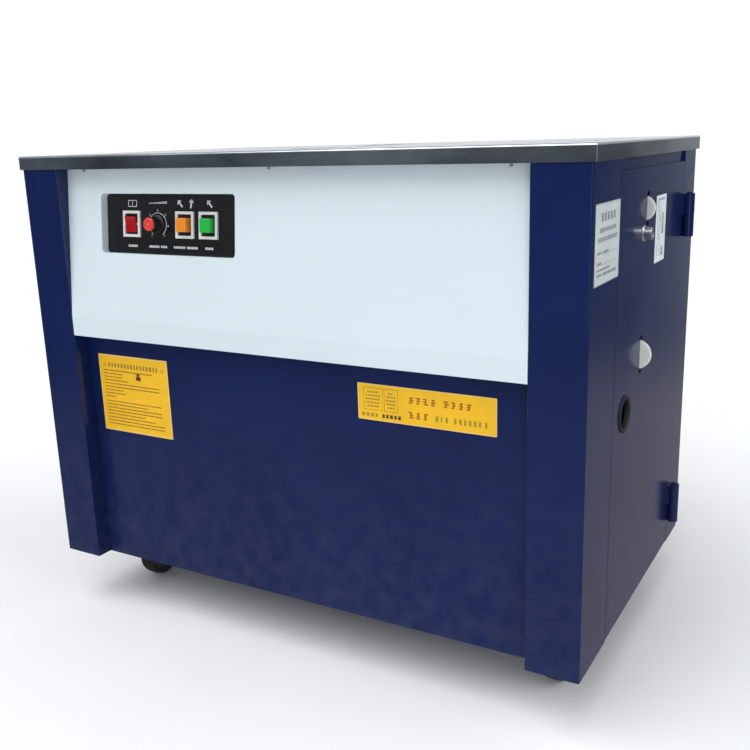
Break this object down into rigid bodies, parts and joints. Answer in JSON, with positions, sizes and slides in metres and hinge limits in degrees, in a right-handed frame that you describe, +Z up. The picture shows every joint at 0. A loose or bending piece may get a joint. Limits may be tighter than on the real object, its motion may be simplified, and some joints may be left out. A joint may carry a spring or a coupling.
{
  "type": "semi automatic strapping machine",
  "caption": "Table-height strapping machine on swivel casters: steel cabinet with side doors, lifting table lids, leaning control panel, strap reel, drive and sealing head inside.",
  "frame": {"origin": "on the floor under the middle of the cabinet", "axes": "+X to the operator's right along the table, +Y to the back, +Z up"},
  "size_m": [0.9174, 0.54, 0.735],
  "materials": {
    "navy_paint": "powder coat",
    "white_paint": "powder coat",
    "black_plate": "moulded satin",
    "grey_plastic": "moulded satin",
    "red_plastic": "moulded gloss",
    "pink_plastic": "moulded satin",
    "orange_plastic": "moulded gloss",
    "green_plastic": "moulded gloss",
    "black_plastic": "moulded satin",
    "black_rubber": "matte",
    "stainless": "bright rolled",
    "chromed": "polished",
    "plated_steel": "bright rolled",
    "zinc": "powder coat",
    "caster_rubber": "matte",
    "white_nylon": "moulded satin",
    "tool_steel": "bright rolled",
    "cast_grey": "powder coat",
    "motor_grey": "powder coat",
    "pulley_alloy": "machined",
    "reel_board": "moulded satin",
    "box_zinc": "powder coat"
  },
  "bodies": {
    "root": {"base_frame": "navy_paint", "front_posts": "navy_paint", "rear_posts": "navy_paint", "top_rails": "navy_paint", "lower_front_panel": "navy_paint", "upper_front_panel": "white_paint", "control_plate": "black_plate", "button_bezels": "grey_plastic", "rear_panel": "navy_paint", "power_inlet": "black_plastic", "table_top": "stainless", "head_strip": "stainless", "hinge_pins": "navy_paint", "tension_brackets": "plated_steel", "caster_plates": "plated_steel", "fasteners": "plated_steel", "head_frame": "cast_grey", "gearbox": "cast_grey", "motor": "motor_grey", "drive_belt": "black_rubber", "reel_stand": "cast_grey", "strap_pool": "box_zinc", "electric_box": "box_zinc"},
    "right_door": {"right_door": "navy_paint", "strap_inlet_grommet": "black_rubber", "right_lock_housing": "chromed"},
    "left_door": {"left_door": "navy_paint", "left_lock_housing": "chromed"},
    "right_lock": {"right_lock_plug": "plated_steel"},
    "left_lock": {"left_lock_plug": "plated_steel"},
    "right_lid": {"right_table_lid": "stainless"},
    "left_lid": {"left_table_lid": "stainless"},
    "rocker": {"power_rocker": "red_plastic"},
    "knob": {"length_knob": "pink_plastic"},
    "reset": {"reset_button": "orange_plastic"},
    "feed": {"feed_button": "green_plastic"},
    "high_wheel": {"high_tension_wheel": "white_nylon"},
    "low_wheel": {"low_tension_wheel": "white_nylon"},
    "slide_plate": {"slide_plate": "stainless"},
    "front_gripper": {"front_gripper": "tool_steel"},
    "press_head": {"press_head": "tool_steel"},
    "rear_gripper": {"rear_gripper": "tool_steel"},
    "camshaft": {"camshaft": "plated_steel"},
    "heater_arm": {"heater_arm": "plated_steel"},
    "feed_roller": {"feed_roller": "plated_steel"},
    "pinch_roller": {"pinch_roller": "white_nylon"},
    "drive_pulley": {"drive_pulley": "pulley_alloy"},
    "motor_pulley": {"motor_pulley": "pulley_alloy"},
    "reel": {"reel_drum": "reel_board", "reel_outer_flange": "reel_board", "reel_nut": "black_plastic"},
    "brake_arm": {"brake_arm": "tool_steel"},
    "front_left_swivel": {"front_left_caster_fork": "zinc"},
    "front_left_wheel": {"front_left_caster_wheel": "caster_rubber"},
    "front_right_swivel": {"front_right_caster_fork": "zinc"},
    "front_right_wheel": {"front_right_caster_wheel": "caster_rubber"},
    "rear_left_swivel": {"rear_left_caster_fork": "zinc"},
    "rear_left_wheel": {"rear_left_caster_wheel": "caster_rubber"},
    "rear_right_swivel": {"rear_right_caster_fork": "zinc"},
    "rear_right_wheel": {"rear_right_caster_wheel": "caster_rubber"}
  },
  "joints": [
    {"name": "right_door_swing", "type": "hinge", "parent": "root", "child": "right_door", "pos_m": [0.451, 0.197, 0.39], "axis": [0, 0, 1], "range_deg": [0, 110]},
    {"name": "left_door_swing", "type": "hinge", "parent": "root", "child": "left_door", "pos_m": [-0.451, 0.197, 0.39], "axis": [0, 0, -1], "range_deg": [0, 110]},
    {"name": "right_lock_turn", "type": "hinge", "parent": "right_door", "child": "right_lock", "pos_m": [0.44, -0.038, 0.616], "axis": [-1, 0, 0], "range_deg": [0, 90]},
    {"name": "left_lock_turn", "type": "hinge", "parent": "left_door", "child": "left_lock", "pos_m": [-0.44, -0.038, 0.616], "axis": [-1, 0, 0], "range_deg": [0, 90]},
    {"name": "right_lid_swing", "type": "hinge", "parent": "root", "child": "right_lid", "pos_m": [0.3945, 0, 0.733], "axis": [0, 1, 0], "range_deg": [0, 95]},
    {"name": "left_lid_swing", "type": "hinge", "parent": "root", "child": "left_lid", "pos_m": [-0.3945, 0, 0.733], "axis": [0, -1, 0], "range_deg": [0, 95]},
    {"name": "power_rocker_tilt", "type": "hinge", "parent": "root", "child": "rocker", "pos_m": [-0.253, -0.24218, 0.63479], "axis": [-1, 0, 0], "range_deg": [0, 18]},
    {"name": "length_knob_turn", "type": "hinge", "parent": "root", "child": "knob", "pos_m": [-0.204, -0.24069, 0.63463], "axis": [0, -0.9946, 0.1035], "range_deg": [0, 280]},
    {"name": "reset_button_press", "type": "slide", "parent": "root", "child": "reset", "axis": [0, 0.9946, -0.1035], "range_m": [0, 0.004], "stiffness_N_per_m": 250},
    {"name": "feed_button_press", "type": "slide", "parent": "root", "child": "feed", "axis": [0, 0.9946, -0.1035], "range_m": [0, 0.004], "stiffness_N_per_m": 250},
    {"name": "high_tension_turn", "type": "hinge", "parent": "root", "child": "high_wheel", "pos_m": [0.4361, -0.022, 0.647], "axis": [0, 1, 0], "range_deg": [-180, 180]},
    {"name": "low_tension_turn", "type": "hinge", "parent": "root", "child": "low_wheel", "pos_m": [0.437, -0.029, 0.453], "axis": [0, 1, 0], "range_deg": [-180, 180]},
    {"name": "slide_plate_draw", "type": "slide", "parent": "root", "child": "slide_plate", "axis": [1, 0, 0], "range_m": [0, 0.025]},
    {"name": "front_gripper_lift", "type": "slide", "parent": "root", "child": "front_gripper", "axis": [0, 0, 1], "range_m": [0, 0.006]},
    {"name": "press_head_lift", "type": "slide", "parent": "root", "child": "press_head", "axis": [0, 0, 1], "range_m": [0, 0.006]},
    {"name": "rear_gripper_lift", "type": "slide", "parent": "root", "child": "rear_gripper", "axis": [0, 0, 1], "range_m": [0, 0.006]},
    {"name": "camshaft_spin", "type": "hinge", "parent": "root", "child": "camshaft", "pos_m": [0, 0, 0.64], "axis": [0, 1, 0], "continuous": true},
    {"name": "heater_arm_swing", "type": "hinge", "parent": "root", "child": "heater_arm", "pos_m": [0.034, 0.074, 0.72], "axis": [0, 0, -1], "range_deg": [0, 25]},
    {"name": "feed_roller_spin", "type": "hinge", "parent": "root", "child": "feed_roller", "pos_m": [0, 0.174, 0.684], "axis": [1, 0, 0], "continuous": true},
    {"name": "pinch_roller_spin", "type": "hinge", "parent": "root", "child": "pinch_roller", "pos_m": [0, 0.1397, 0.684], "axis": [1, 0, 0], "continuous": true},
    {"name": "drive_pulley_spin", "type": "hinge", "parent": "root", "child": "drive_pulley", "pos_m": [0, 0.21, 0.612], "axis": [0, 1, 0], "continuous": true},
    {"name": "motor_pulley_spin", "type": "hinge", "parent": "root", "child": "motor_pulley", "pos_m": [0.17, 0.21, 0.18], "axis": [0, 1, 0], "continuous": true},
    {"name": "reel_spin", "type": "hinge", "parent": "root", "child": "reel", "pos_m": [-0.3, 0, 0.34], "axis": [1, 0, 0], "continuous": true},
    {"name": "brake_arm_swing", "type": "hinge", "parent": "root", "child": "brake_arm", "pos_m": [-0.2175, 0.15, 0.14], "axis": [1, 0, 0], "range_deg": [0, 8]},
    {"name": "front_left_caster_swivel", "type": "hinge", "parent": "root", "child": "front_left_swivel", "pos_m": [-0.372, -0.158, 0.08], "axis": [0, 0, 1], "continuous": true},
    {"name": "front_left_caster_roll", "type": "hinge", "parent": "front_left_swivel", "child": "front_left_wheel", "pos_m": [-0.372, -0.128, 0.0375], "axis": [1, 0, 0], "continuous": true},
    {"name": "front_right_caster_swivel", "type": "hinge", "parent": "root", "child": "front_right_swivel", "pos_m": [0.372, -0.158, 0.08], "axis": [0, 0, 1], "continuous": true},
    {"name": "front_right_caster_roll", "type": "hinge", "parent": "front_right_swivel", "child": "front_right_wheel", "pos_m": [0.372, -0.128, 0.0375], "axis": [1, 0, 0], "continuous": true},
    {"name": "rear_left_caster_swivel", "type": "hinge", "parent": "root", "child": "rear_left_swivel", "pos_m": [-0.372, 0.158, 0.08], "axis": [0, 0, 1], "continuous": true},
    {"name": "rear_left_caster_roll", "type": "hinge", "parent": "rear_left_swivel", "child": "rear_left_wheel", "pos_m": [-0.372, 0.188, 0.0375], "axis": [1, 0, 0], "continuous": true},
    {"name": "rear_right_caster_swivel", "type": "hinge", "parent": "root", "child": "rear_right_swivel", "pos_m": [0.372, 0.158, 0.08], "axis": [0, 0, 1], "continuous": true},
    {"name": "rear_right_caster_roll", "type": "hinge", "parent": "rear_right_swivel", "child": "rear_right_wheel", "pos_m": [0.372, 0.188, 0.0375], "axis": [1, 0, 0], "continuous": true}
  ],
  "couplings": [
    {"joint": "motor_pulley_spin", "follows": "drive_pulley_spin", "ratio": 2.2727},
    {"joint": "pinch_roller_spin", "follows": "feed_roller_spin", "ratio": -1.8333}
  ]
}
